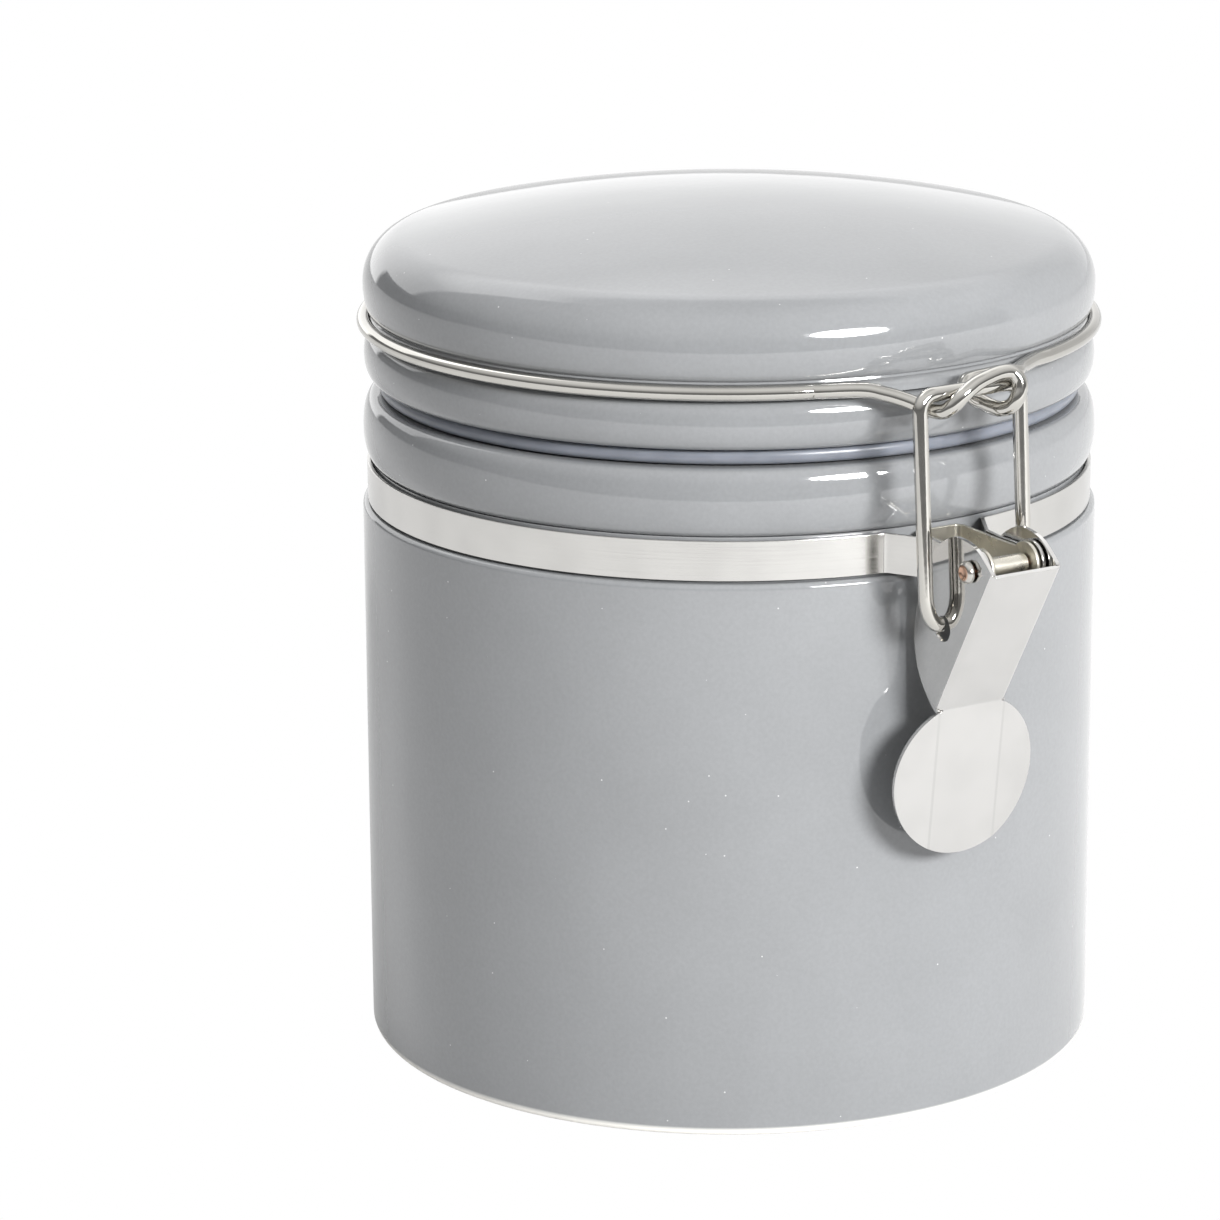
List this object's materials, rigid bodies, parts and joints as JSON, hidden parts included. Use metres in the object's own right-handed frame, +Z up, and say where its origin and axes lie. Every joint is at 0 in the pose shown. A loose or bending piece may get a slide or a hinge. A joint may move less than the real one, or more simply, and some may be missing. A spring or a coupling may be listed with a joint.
{
  "type": "clamp-top storage jar",
  "caption": "Round glazed ceramic storage jar with a low domed lid, a sealing ring, a wire hinge behind and a sprung-wire clasp with a thumb lever in front.",
  "frame": {"origin": "centre of the flat foot, where the jar's axis meets the surface it stands on", "axes": "+Z up along the jar's axis; -Y is the front, where the clasp is; the hinge is at +Y; +X is to the right seen from the front"},
  "size_m": [0.121, 0.1467, 0.1397],
  "materials": {
    "grey_glaze": "glossy grey glaze",
    "silicone": "translucent blue-grey silicone",
    "polished_steel": "polished pressed sheet",
    "nickel_wire": "bright plated wire",
    "copper_rivet": "copper-toned rivet"
  },
  "bodies": {
    "jar": {"jar_body": "grey_glaze", "neck_band": "polished_steel", "clasp_saddle": "polished_steel", "pivot_sleeve": "polished_steel", "pivot_rivet": "copper_rivet", "hinge_clip": "polished_steel"},
    "lid": {"lid": "grey_glaze", "lid_gasket": "silicone", "lid_wire": "nickel_wire"},
    "bail": {"bail": "nickel_wire"},
    "lever": {"lever": "polished_steel"}
  },
  "joints": [
    {"name": "lever_pivot", "type": "hinge", "parent": "jar", "child": "lever", "pos_m": [0, -0.0764, 0.09405], "axis": [-1, 0, 0], "range_deg": [0, 115]},
    {"name": "lid_hinge", "type": "hinge", "parent": "jar", "child": "lid", "pos_m": [0, 0.0618, 0.09345], "axis": [-1, 0, 0], "range_deg": [0, 180]},
    {"name": "bail_swing", "type": "hinge", "parent": "lid", "child": "bail", "pos_m": [0, -0.067, 0.1197], "axis": [-1, 0, 0], "range_deg": [0, 37]}
  ],
  "couplings": [
    {"joint": "bail_swing", "follows": "lever_pivot", "ratio": 0.32}
  ]
}
